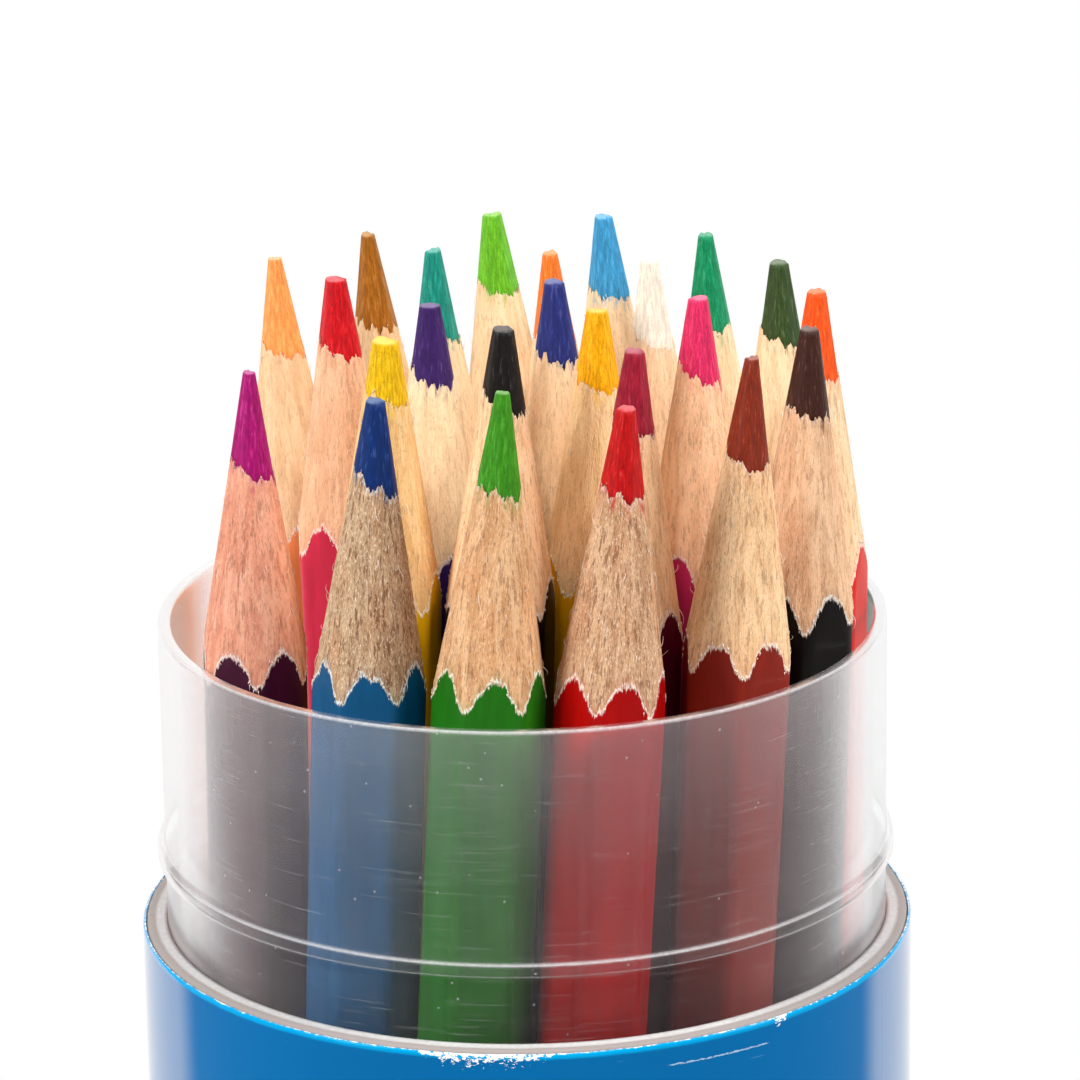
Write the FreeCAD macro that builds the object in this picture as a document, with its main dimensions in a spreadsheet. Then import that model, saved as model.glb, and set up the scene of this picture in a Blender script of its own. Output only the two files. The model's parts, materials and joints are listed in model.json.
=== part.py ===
import FreeCAD, Part
import math
import os
import re

import Sketcher

# Round tube of sharpened hexagonal pencils, standing on its base. Millimetres and degrees.
# The tube's axis is +Z through the origin, which lies on the bench; -Y is the front.

# Driving sizes
SIZES = {
    # pencils
    "pencil_length": 175.0,
    "pencil_flats": 6.7,
    "lead_diameter": 2.9,
    "lead_glue": 0.03,
    "sharpening_angle": 18.0,
    # bundle
    "pencil_gap": 0.1,
    "ring_pitches": 2.43,
    "first_slot": 201.0,
    "ring_lean": 3.6,
    "waist_height": 80.0,
    "foot_gap": 0.1,
    "bundle_clearance": 0.1,
    # neck sleeve
    "neck_wall": 0.9,
    "neck_height": 21.3,
    "neck_insert": 32.0,
    "neck_lead_in": 0.4,
    "rim_bevel": 0.25,
    "bead_drop": 15.75,
    "bead_height": 0.9,
    "bead_proud": 0.5,
    "bead_bevel": 0.2,
    # board tube and its wrap
    "ledge_height": 136.8,
    "board_wall": 1.4,
    "board_fit": 0.05,
    "board_bevel": 0.4,
    "wrap_glue": 0.05,
    "wrap_thickness": 0.2,
    "wrap_margin": 0.6,
    "wrap_lap": 9.0,
    # base plug
    "base_recess": 4.0,
    "base_floor": 1.4,
    "base_skirt": 1.2,
    "base_flange": 0.8,
    "base_proud": 0.35,
}

# Sizes that follow from the driving ones
WORKED = {
    "corner_radius": "pencil_flats / sqrt(3)",
    "pencil_pitch": "2 * corner_radius + pencil_gap",
    "ring_radius": "ring_pitches * pencil_pitch",
    "slot_angle": "2 * atan(0.5 / ring_pitches) / 1 deg",
    "twist": "tan(ring_lean * 1 deg) / ring_radius",
    "taper": "tan(sharpening_angle / 2 * 1 deg)",
    "lead_bore": "lead_diameter + 2 * lead_glue",
    "floor_height": "base_recess + base_floor",
    "rim_height": "ledge_height + neck_height",
    "spread": "sqrt(1 + (twist * max(rim_height - waist_height; waist_height - floor_height)) ^ 2)",
    "neck_bore": "ring_radius * spread + corner_radius + bundle_clearance",
    "neck_radius": "neck_bore + neck_wall",
    "bead_radius": "neck_radius + bead_proud",
    "bead_top": "rim_height - bead_drop",
    "bead_bottom": "bead_top - bead_height",
    "sleeve_foot": "ledge_height - neck_insert",
    "board_bore": "neck_radius + board_fit",
    "board_radius": "board_bore + board_wall",
    "wrap_bore": "board_radius + wrap_glue",
    "wrap_radius": "wrap_bore + wrap_thickness",
    "wrap_top": "ledge_height - wrap_margin",
    "lap_radius": "wrap_radius + wrap_thickness",
    "lap_angle": "wrap_lap / wrap_radius * 180 / pi",
    "plug_radius": "board_bore - board_fit",
    "plug_bore": "plug_radius - base_skirt",
    "flange_radius": "wrap_radius + base_proud",
}

# Outer ring: place along the ring in slots, direction of one flat, length ground away, width of the blunt tip
RING = {
    "magenta": (-0.4, 5, 2.4, 0.8),
    "blue": (1.04, 30, 2.1, 1.2),
    "green": (2.07, 35, 1.0, 0.9),
    "red": (3.06, 45, 2.6, 1.2),
    "brown": (4.28, 5, 1.0, 0.9),
    "umber": (5.3, 5, 1.2, 1.2),
    "vermilion": (6.29, 40, 0.9, 1.3),
    "olive": (7.25, 35, 0.9, 1.3),
    "emerald": (8.19, 50, 0.5, 1.0),
    "sky": (9.17, 15, 0.1, 1.2),
    "lime": (10.13, 35, 0.0, 1.3),
    "ochre": (11.25, 50, 0.6, 0.9),
    "peach": (12.3, 40, 0.6, 0.9),
}

# Inside the ring: distance from the axis in pencil pitches, direction from the axis, then as above
INSIDE = {
    "crimson": (1.55, 143, 0, 0.2, 1.4),
    "yellow": (1.5, 208, 45, 0.8, 1.7),
    "violet": (0.72, 175, 50, 0.6, 1.4),
    "indigo": (0.59, 41, 20, 0.7, 1.3),
    "amber": (0.75, 310, 25, 0.6, 1.4),
    "pink": (1.46, 345.5, 5, 1.0, 1.3),
    "burgundy": (1.58, 287.5, 25, 1.3, 1.3),
    "white": (1.49, 25, 20, 0.3, 1.2),
    "orange": (1.46, 61, 20, 0.8, 1.0),
    "teal": (1.45, 100, 50, 0.1, 1.1),
    "black": (1.09, 246, 45, 0.2, 1.4),
}

FULL_TURN = 360.0
BACK = 90.0
CUT_MARGIN = 1.0
SAME_PLACE = 1e-4

doc = FreeCAD.newDocument("pencil_tube")
sheet = doc.addObject("Spreadsheet::Sheet", "Sizes")


def fill_sheet():
    """Write the driving sizes and what follows from them, each under its own name."""
    row = 1
    for name, value in SIZES.items():
        sheet.set(f"A{row}", name)
        sheet.set(f"B{row}", str(value))
        sheet.setAlias(f"B{row}", name)
        row += 1
    for name, formula in WORKED.items():
        sheet.set(f"A{row}", name)
        sheet.set(f"B{row}", f"={formula}")
        sheet.setAlias(f"B{row}", name)
        row += 1
    for name, (*_, ground, tip) in (RING | INSIDE).items():
        sheet.set(f"A{row}", name)
        sheet.set(f"B{row}", str(ground))
        sheet.setAlias(f"B{row}", f"{name}_ground")
        sheet.set(f"C{row}", str(tip))
        sheet.setAlias(f"C{row}", f"{name}_tip")
        row += 1
    doc.recompute()


def size(name):
    """A sheet value as a plain number."""
    return float(sheet.get(name))


def named(expression):
    """An expression in sheet names, with each name written the way another object refers to it."""
    return re.sub(r"[a-z_]+", lambda word: f"Sizes.{word[0]}" if word[0] in KNOWN else word[0], expression)


def origin_plane(body, role):
    """One of the body's own base planes."""
    return next(f for f in body.Origin.OriginFeatures if f.Role == role)


def new_body(label):
    body = doc.addObject("PartDesign::Body", label)
    body.Label = label
    return body


def new_sketch(body, name, role):
    sketch = body.newObject("Sketcher::SketchObject", f"{body.Name}_{name}")
    sketch.AttachmentSupport = [(origin_plane(body, role), "")]
    sketch.MapMode = "FlatFace"
    return sketch


def outline(sketch, points):
    """Closed outline through points whose two coordinates are expressions in sheet names, or 0 for on the axis."""
    spots = [FreeCAD.Vector(*(value_of(c) for c in point), 0) for point in points]
    for k, spot in enumerate(spots):
        sketch.addGeometry(Part.LineSegment(spot, spots[(k + 1) % len(spots)]), False)
    for k in range(len(spots)):
        sketch.addConstraint(Sketcher.Constraint("Coincident", k, 2, (k + 1) % len(spots), 1))
    for k, point in enumerate(points):
        for kind, axis_line, coordinate in zip(("DistanceX", "DistanceY"), (-2, -1), point):
            if coordinate == 0:
                sketch.addConstraint(Sketcher.Constraint("PointOnObject", k, 1, axis_line))
                continue
            place = sketch.addConstraint(Sketcher.Constraint(kind, -1, 1, k, 1, value_of(coordinate)))
            sketch.setExpression(f"Constraints[{place}]", named(coordinate))


def value_of(expression):
    """What an expression in sheet names comes to."""
    if expression == 0:
        return 0.0
    return float(sheet.evalExpression(expression))


def turned(body, name, points, kind="PartDesign::Revolution", angle=None):
    """Turn an outline of (radius, height) points round the body's own Z axis."""
    sketch = new_sketch(body, f"{name}_outline", "XZ_Plane")
    outline(sketch, points)
    feature = body.newObject(kind, f"{body.Name}_{name}")
    feature.Profile = sketch
    feature.ReferenceAxis = (origin_plane(body, "Z_Axis"), [""])
    feature.Angle = FULL_TURN
    if angle:
        feature.setExpression("Angle", named(angle))
    sketch.Visibility = False
    return feature


def ring_edges(shape, *rings):
    """Names of the circular edges at the given (radius, height) pairs."""
    found = []
    for k, edge in enumerate(shape.Edges):
        if not isinstance(edge.Curve, Part.Circle):
            continue
        spot = (edge.Curve.Radius, edge.Curve.Center.z)
        if any(math.dist(spot, (size(r), size(z))) < SAME_PLACE for r, z in rings):
            found.append(f"Edge{k + 1}")
    return found


def bevelled(body, base, edges, width):
    chamfer = body.newObject("PartDesign::Chamfer", f"{body.Name}_bevel")
    chamfer.Base = (base, edges)
    chamfer.setExpression("Size", named(width))
    return chamfer


def base_plug():
    """Recessed base: a floor for the pencils, a skirt glued inside the tube and a flange under its end."""
    body = new_body("base_plug")
    turned(body, "wall", [
        ("plug_bore", 0),
        ("flange_radius", 0),
        ("flange_radius", "base_flange"),
        ("plug_radius", "base_flange"),
        ("plug_radius", "floor_height"),
        (0, "floor_height"),
        (0, "base_recess"),
        ("plug_bore", "base_recess"),
    ])
    return body


def board_tube():
    """Wound board tube standing on the plug's flange; its top end is the ledge round the neck."""
    body = new_body("board_tube")
    wall = turned(body, "wall", [
        ("board_bore", "base_flange"),
        ("board_radius", "base_flange"),
        ("board_radius", "ledge_height"),
        ("board_bore", "ledge_height"),
    ])
    doc.recompute()
    bevelled(body, wall, ring_edges(wall.Shape, ("board_radius", "ledge_height")), "board_bevel")
    return body


def printed_wrap():
    """Printed paper glued round the tube, its ends lapped over each other at the back."""
    body = new_body("printed_wrap")
    turned(body, "sheet", [
        ("wrap_bore", "base_flange"),
        ("wrap_radius", "base_flange"),
        ("wrap_radius", "wrap_top"),
        ("wrap_bore", "wrap_top"),
    ])
    turned(body, "lap", [
        ("wrap_bore", "base_flange"),
        ("lap_radius", "base_flange"),
        ("lap_radius", "wrap_top"),
        ("wrap_bore", "wrap_top"),
    ], angle="lap_angle")
    start = BACK - size("lap_angle") / 2
    body.Placement = FreeCAD.Placement(FreeCAD.Vector(), FreeCAD.Rotation(start, 0, 0))
    return body


def neck_sleeve():
    """Clear sleeve pushed into the tube, with a snap bead for the cap and a bevelled rim."""
    body = new_body("neck_sleeve")
    wall = turned(body, "wall", [
        ("neck_bore", "sleeve_foot"),
        ("neck_radius - neck_lead_in", "sleeve_foot"),
        ("neck_radius", "sleeve_foot + neck_lead_in"),
        ("neck_radius", "bead_bottom"),
        ("bead_radius", "bead_bottom + bead_bevel"),
        ("bead_radius", "bead_top - bead_bevel"),
        ("neck_radius", "bead_top"),
        ("neck_radius", "rim_height"),
        ("neck_bore", "rim_height"),
    ])
    doc.recompute()
    rim = ring_edges(wall.Shape, ("neck_radius", "rim_height"), ("neck_bore", "rim_height"))
    bevelled(body, wall, rim, "rim_bevel")
    return body


def casing(name, place):
    """Hexagonal wooden barrel bored for its lead and ground to a cone, which cuts each flat in an arch."""
    body = new_body(f"pencil_{name}_casing")
    length = f"(pencil_length - {name}_ground)"
    tip = f"{name}_tip / 2"
    half, low, high = "pencil_flats / 2", "pencil_flats / (2 * sqrt(3))", "pencil_flats / sqrt(3)"
    section = new_sketch(body, "section", "XY_Plane")
    outline(section, [
        (half, f"-{low}"),
        (half, low),
        (0, high),
        (f"-{half}", low),
        (f"-{half}", f"-{low}"),
        (0, f"-{high}"),
    ])
    barrel = body.newObject("PartDesign::Pad", f"{body.Name}_barrel")
    barrel.Profile = section
    barrel.setExpression("Length", named(length))
    reach = f"({high} + {CUT_MARGIN})"
    turned(body, "sharpening", [
        (tip, length),
        (tip, f"{length} + {CUT_MARGIN}"),
        (reach, f"{length} + {CUT_MARGIN}"),
        (reach, f"{length} - ({reach} - {tip}) / taper"),
    ], kind="PartDesign::Groove")
    hole = new_sketch(body, "hole", "XY_Plane")
    hole.addGeometry(Part.Circle(FreeCAD.Vector(), FreeCAD.Vector(0, 0, 1), size("lead_bore") / 2), False)
    hole.addConstraint(Sketcher.Constraint("Coincident", 0, 3, -1, 1))
    width = hole.addConstraint(Sketcher.Constraint("Diameter", 0, size("lead_bore")))
    hole.setExpression(f"Constraints[{width}]", named("lead_bore"))
    bore = body.newObject("PartDesign::Pocket", f"{body.Name}_bore")
    bore.Profile = hole
    bore.Type = "ThroughAll"
    bore.Reversed = True
    body.Placement = place
    return body


def lead(name, place):
    """Coloured lead, full length of the pencil, its end ground on the same cone and worn blunt."""
    body = new_body(f"pencil_{name}_lead")
    length = f"(pencil_length - {name}_ground)"
    tip, radius = f"{name}_tip / 2", "lead_diameter / 2"
    turned(body, "core", [
        (0, 0),
        (radius, 0),
        (radius, f"{length} - ({radius} - {tip}) / taper"),
        (tip, length),
        (0, length),
    ])
    body.Placement = place
    return body


def waist_places():
    """Each pencil's distance and direction from the tube's axis at the waist, and the direction of one flat."""
    for name, (slot, flat, *_) in RING.items():
        yield name, size("ring_radius"), size("first_slot") + slot * size("slot_angle"), flat
    for name, (pitches, direction, flat, *_) in INSIDE.items():
        yield name, pitches * size("pencil_pitch"), direction, flat


def pencil_place(radius, direction, flat):
    """Stand a pencil in the bundle, which twists about the tube's axis, with its foot just clear of the floor."""
    angle = math.radians(direction)
    waist = FreeCAD.Vector(radius * math.cos(angle), radius * math.sin(angle), size("waist_height"))
    along = FreeCAD.Vector(-size("twist") * waist.y, size("twist") * waist.x, 1)
    tilt = math.atan(size("twist") * radius)
    foot_height = size("floor_height") + size("foot_gap") + size("corner_radius") * math.sin(tilt)
    foot = waist + along * (foot_height - waist.z)
    lean = FreeCAD.Rotation(FreeCAD.Vector(0, 0, 1), along)
    return FreeCAD.Placement(foot, lean * FreeCAD.Rotation(flat, 0, 0))


fill_sheet()
KNOWN = set(SIZES) | set(WORKED) | {f"{n}_{kind}" for n in RING | INSIDE for kind in ("ground", "tip")}
nodes = [base_plug(), board_tube(), printed_wrap(), neck_sleeve()]
for pencil, *where in waist_places():
    nodes.append(casing(pencil, pencil_place(*where)))
    nodes.append(lead(pencil, pencil_place(*where)))
doc.recompute()

for item in doc.Objects:
    if {"Invalid", "Error"} & set(item.State):
        raise RuntimeError(f"{item.Label} failed: {item.State}")
for node in nodes:
    if node.Shape.isNull() or not node.Shape.isValid() or len(node.Shape.Solids) != 1:
        raise RuntimeError(f"{node.Label} is not one valid solid")

os.makedirs("parts", exist_ok=True)
for node in nodes:
    node.Shape.exportStep(f"parts/{node.Label}.step")
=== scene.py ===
"""The looks of a tube of coloured pencils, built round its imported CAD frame, in metres."""

import json
import math
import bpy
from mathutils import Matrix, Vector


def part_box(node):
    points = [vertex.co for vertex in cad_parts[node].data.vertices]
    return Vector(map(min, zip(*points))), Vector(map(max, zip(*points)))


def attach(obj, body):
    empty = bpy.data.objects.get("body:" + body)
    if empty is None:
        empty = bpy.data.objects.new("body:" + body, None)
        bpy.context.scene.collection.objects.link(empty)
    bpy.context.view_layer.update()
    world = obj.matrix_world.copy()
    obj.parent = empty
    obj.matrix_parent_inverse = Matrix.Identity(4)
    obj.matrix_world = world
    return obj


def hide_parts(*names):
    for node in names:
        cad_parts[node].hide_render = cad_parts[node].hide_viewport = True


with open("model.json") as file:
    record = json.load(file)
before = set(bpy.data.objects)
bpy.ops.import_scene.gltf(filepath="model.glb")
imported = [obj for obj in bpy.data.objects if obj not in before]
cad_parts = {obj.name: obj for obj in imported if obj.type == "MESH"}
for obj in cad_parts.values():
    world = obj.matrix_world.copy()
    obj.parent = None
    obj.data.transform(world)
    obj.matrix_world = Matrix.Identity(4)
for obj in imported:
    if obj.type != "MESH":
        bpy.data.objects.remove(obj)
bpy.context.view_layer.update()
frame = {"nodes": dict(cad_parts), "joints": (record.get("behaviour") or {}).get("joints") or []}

from types import SimpleNamespace

import bpy
import numpy as np
from mathutils import Matrix, Vector

MM = 0.001
TURN = 2 * math.pi
HALF_SIDE = math.pi / 6
UP = np.array([0, 0, 1.0])
LEVEL = np.zeros(1)
TUBE_STEPS = 256
WRAP_SEED = 7
BOARD_SEED = 8

# Pencil mesh: columns round it, rows up the barrel as shares of its length, and rows up the cone and lead
AROUND = 96
BARREL_ROWS = (0, 0.3, 0.6, 0.85, 0.95, 0.985, 1.0)
CONE_ROWS = 45
LEAD_ROWS = 30
PENCIL_SEED = 1000

# Pencil shape, in millimetres, with facet depths as shares of the radius
SHARPENING_ANGLE = math.radians(18)
EDGE_ROUNDING = 1.1
WOOD_FACETS = 9
WOOD_FACET_DEPTH = 0.018
LEAD_FACETS = 5
LEAD_FACET_DEPTH = 0.11
FACET_REACH = 1.2
LEAD_SINK = 0.1
LEAD_CLEARANCE = 0.01
LEAD_OVERLAP = 1.2
SINK_LENGTH = 0.12
WOOD_LIP = 0.06
LIP_DROP = 0.05

# Roughness of the cut: depths in millimetres, ranges of waves round the pencil and, for grooves, their pitch
BOUNDARY_SLANT = (0.35, 0.95)
BOUNDARY_RAGGED = ((0.22, (4, 12)), (0.14, (14, 40)))
GRAIN_GROOVES = ((0.018, (14, 44), 1.2), (0.02, (5, 14), 4))
LEAD_GROOVES = (0.012, (8, 30), 1.5)
TIP_TILT = 0.12
TIP_UNEVEN = (0.05, (2, 6))

# Splinters where the lacquer ends and where the lead begins: how many, the middle and spread of their places
# along the pencil, the ways that they may point, and the ranges of their lift, length and width
LACQUER_SPLINTERS = (120, (0.02, 0.12), (-1.0, -1.0, 1.0), (0.01, 0.09), (0.12, 0.4), (0.06, 0.14))
LEAD_SPLINTERS = (26, (-0.03, 0.06), (-1.0, 1.0, 1.0), (0.01, 0.06), (0.1, 0.3), (0.04, 0.1))
ROOT_DEPTH = 0.02

# Loose hairs of wood: how many on the cleanest wood and how many more on the most speckled, and their sizes
FIBRES = 20
SPECKLED_FIBRES = 50
FIBRE_PLACES = (0.02, 0.95)
FIBRE_LENGTHS = (0.3, 1.1)
FIBRE_RISES = (0.05, 0.35)
FIBRE_BEND = 0.35
FIBRE_RADIUS = 0.028
FIBRE_SECTIONS = 5

# Values of the wood's mesh that mean plain wood, away from the lacquer and the lead
BARE_WOOD = {"edge": -2.0, "below_lead": 9.0}

# Screen colours of the wood's marks
CREAM = (255, 238, 208)
WARM_WOOD = (230, 150, 106)
VEIN_BROWN = (96, 50, 28)
DASH_BROWN = (124, 80, 50)
PIT_BROWN = (96, 66, 46)
SPARKLE = (250, 234, 208)
FUZZ_WHITE = (246, 242, 236)
FRAY_WHITE = (255, 250, 242)

# Printed wrap, in millimetres: depths below its edge, the slope onto its lap, and angles in degrees from the
# front to the right, as a centre, a half width and, where it is worn, a fade
# The paler blue along the rolled top edge, over the band below that edge, is a painted highlight
EDGE_HIGHLIGHT_BLUE = (0, 150, 206)
EDGE_HIGHLIGHT_BAND = (0.42, 0.2)
LAP_RADIUS = 26
LAP_RAMP = 0.3
SCRATCH_ANGLES = (28.5, 7.5)
SCRATCH_DEPTH = 1.55
WORN_FRONT = (-6.0, 4.0, 8.0)
WORN_RIGHT = (39.0, 0.6, 0.8)

# Frosted sleeve: how far its patterns shift per metre of radius, so that its two faces differ, the haze that
# it gains toward its rim, and how far below the rim that starts
FACE_SHIFT = 2600.0
RIM_HAZE = 0.066
RIM_HAZE_REACH = 0.013

# Where the board's end turns darker toward its outside, as radii
DARK_OUTER_BAND = (0.02535, 0.02565)

# The photograph's camera, with its frame taken as 1080 pixels square
FRAME_PIXELS = 1080
LENS = 200.0
SENSOR = 36.0
FOCAL_PIXELS = LENS / SENSOR * FRAME_PIXELS
CAMERA_DISTANCE = 0.4042
CAMERA_ELEVATION = math.radians(17.99)
CAMERA_ROLL = math.radians(-0.87)
RIM_CENTRE_PIXEL = (522.1, 609.2)

# Studio: a white surround behind the object and a dimmer one in front, a floor that is pale to sight, throws
# back less light and fades to white over a range of distances, and lamps by place, size and power
BACKDROP_DIRECTION = (0.1, 0.92, 0.37)
BACKDROP_FADE = (-0.45, 0.5)
FRONT_LEVEL = 0.12
WORLD_LIGHT = 0.75
FLOOR_HALF = 3.0
FLOOR_HEIGHT = -0.0002
FLOOR_SEEN = 0.8
FLOOR_BOUNCE = 0.4
FLOOR_FADE = (0.12, 0.28)
LAMP_AIM = (0, 0, 0.13)
LAMPS = (
    ("key", (-0.84, -0.5, 0.76), 0.4, 12.8),
    ("front", (0.1, -0.5, 1.1), 0.5, 4.4),
    ("side", (0.88, -0.3, 0.76), 0.4, 10.0),
)

# Each pencil's colours: lead, barrel, wood, and how speckled and how streaky the cut wood is. The wood
# differs partly at random and partly as painted light: it is paler on the rear and inner pencils, standing
# in for the brighter light on them.
PENCILS = {
    "magenta": ((164, 14, 104), (60, 14, 38), (230, 149, 121), 0.25, 0.35),
    "blue": ((4, 42, 104), (10, 76, 118), (180, 143, 108), 1.0, 0.9),
    "green": ((56, 134, 18), (28, 100, 14), (214, 159, 110), 0.55, 0.5),
    "red": ((184, 8, 10), (160, 4, 4), (196, 148, 110), 0.85, 0.7),
    "brown": ((128, 40, 18), (124, 32, 20), (238, 190, 140), 0.5, 0.35),
    "umber": ((58, 26, 16), (14, 9, 8), (226, 177, 137), 0.35, 0.3),
    "vermilion": ((250, 84, 18), (200, 36, 22), (246, 206, 162), 0.25, 0.3),
    "olive": ((50, 72, 32), (36, 60, 28), (252, 216, 170), 0.1, 0.1),
    "emerald": ((14, 136, 88), (4, 110, 76), (254, 220, 176), 0.1, 0.1),
    "sky": ((58, 148, 198), (48, 130, 180), (254, 220, 176), 0.1, 0.1),
    "lime": ((104, 184, 36), (86, 166, 36), (254, 218, 172), 0.1, 0.1),
    "ochre": ((162, 98, 22), (152, 92, 22), (252, 214, 166), 0.1, 0.1),
    "peach": ((254, 158, 84), (240, 144, 84), (246, 200, 151), 0.1, 0.1),
    "crimson": ((204, 16, 28), (196, 40, 66), (242, 182, 140), 0.2, 0.15),
    "yellow": ((232, 182, 10), (222, 164, 10), (246, 196, 128), 0.3, 0.2),
    "violet": ((58, 32, 98), (50, 28, 88), (255, 226, 180), 0.2, 0.1),
    "indigo": ((38, 48, 118), (30, 40, 104), (255, 216, 168), 0.2, 0.15),
    "amber": ((252, 172, 6), (246, 170, 6), (255, 212, 154), 0.2, 0.15),
    "pink": ((218, 44, 96), (186, 40, 90), (252, 200, 156), 0.25, 0.25),
    "burgundy": ((150, 20, 44), (82, 4, 26), (255, 202, 152), 0.25, 0.25),
    "white": ((236, 226, 208), (236, 230, 220), (252, 214, 170), 0.1, 0.1),
    "orange": ((246, 122, 42), (236, 100, 30), (254, 218, 172), 0.1, 0.1),
    "teal": ((22, 142, 124), (12, 124, 108), (254, 218, 172), 0.1, 0.1),
    "black": ((18, 14, 10), (26, 14, 12), (252, 204, 156), 0.3, 0.3),
}


def linear(rgb, share=1.0):
    """An 8-bit screen colour, times a share, as the linear colour that shaders take."""
    values = [min(255.0, c * share) / 255 for c in rgb]
    return tuple(v / 12.92 if v <= 0.04045 else ((v + 0.055) / 1.055) ** 2.4 for v in values) + (1.0,)


def grey(level):
    return (level, level, level, 1)


def blended(a, b, share):
    return tuple(x + (y - x) * share for x, y in zip(a, b))


# Shader building


def put(tree, socket, value):
    """Sets a node's input to a value, or links it to another node's output."""
    if isinstance(value, bpy.types.NodeSocket):
        tree.links.new(value, socket)
    else:
        socket.default_value = value


class Shader:
    """One material with a Principled shader, and short ways to add the nodes that feed it."""

    def __init__(self, name, **sockets):
        self.material = bpy.data.materials.new(name)
        self.material.use_nodes = True
        self.tree = self.material.node_tree
        self.surface = self.tree.nodes["Principled BSDF"]
        self.feed(self.surface, sockets)

    def feed(self, node, sockets):
        for name, value in sockets.items():
            put(self.tree, node.inputs[name], value)

    def node(self, kind, output=0, settings=None, **sockets):
        made = self.tree.nodes.new("ShaderNode" + kind)
        for name, value in (settings or {}).items():
            setattr(made, name, value)
        self.feed(made, sockets)
        return made.outputs[output]

    def position(self):
        """X, Y and Z in the object's own coordinates."""
        where = self.node("TexCoord", "Object")
        return self.node("SeparateXYZ", "X", Vector=where).node.outputs

    def around(self):
        """The angle round the object's Z axis, from the front to the right, and the height."""
        x, y, z = self.position()
        return self.math("ARCTAN2", x, self.math("MULTIPLY", y, -1.0)), z

    def away(self):
        """The distance from the object's Z axis."""
        x, y, _ = self.position()
        return self.math("SQRT", self.math("MULTIPLY_ADD", y, y, self.math("MULTIPLY", x, x)))

    def place(self, scale, shift=(0, 0, 0)):
        """Object coordinates times a scale per metre."""
        where = self.node("TexCoord", "Object")
        return self.node("Mapping", Vector=where, Scale=scale, Location=shift)

    def noise(self, vector, detail=2.0, roughness=0.5, distortion=0.0):
        sockets = {"Scale": 1.0, "Detail": detail, "Roughness": roughness, "Distortion": distortion}
        return self.node("TexNoise", "Fac", Vector=vector, **sockets)

    def cells(self, vector):
        return self.node("TexVoronoi", "Distance", Vector=vector, Scale=1.0)

    def attribute(self, name):
        return self.node("Attribute", "Fac", {"attribute_name": name})

    def math(self, operation, *values):
        made = self.tree.nodes.new("ShaderNodeMath")
        made.operation = operation
        for socket, value in zip(made.inputs, values):
            put(self.tree, socket, value)
        return made.outputs[0]

    def step(self, value, low, high):
        """0 below low and 1 above high, or the other way round where low is the larger."""
        sockets = {"Value": value, "From Min": low, "From Max": high}
        return self.node("MapRange", 0, {"interpolation_type": "SMOOTHSTEP"}, **sockets)

    def mix(self, share, a, b):
        """A colour between two colours."""
        made = self.tree.nodes.new("ShaderNodeMix")
        made.data_type = "RGBA"
        for index, value in ((0, share), (6, a), (7, b)):
            put(self.tree, made.inputs[index], value)
        return made.outputs[2]

    def blend(self, share, a, b):
        """A surface between two surfaces."""
        made = self.node("MixShader")
        for socket, value in zip(made.node.inputs, (share, a, b)):
            put(self.tree, socket, value)
        return made

    def bump(self, height, strength, distance):
        normal = self.node("Bump", 0, Height=height, Strength=strength, Distance=distance)
        self.feed(self.surface, {"Normal": normal})

    def finish(self, surface):
        self.tree.links.new(surface, self.tree.nodes["Material Output"].inputs["Surface"])


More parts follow.
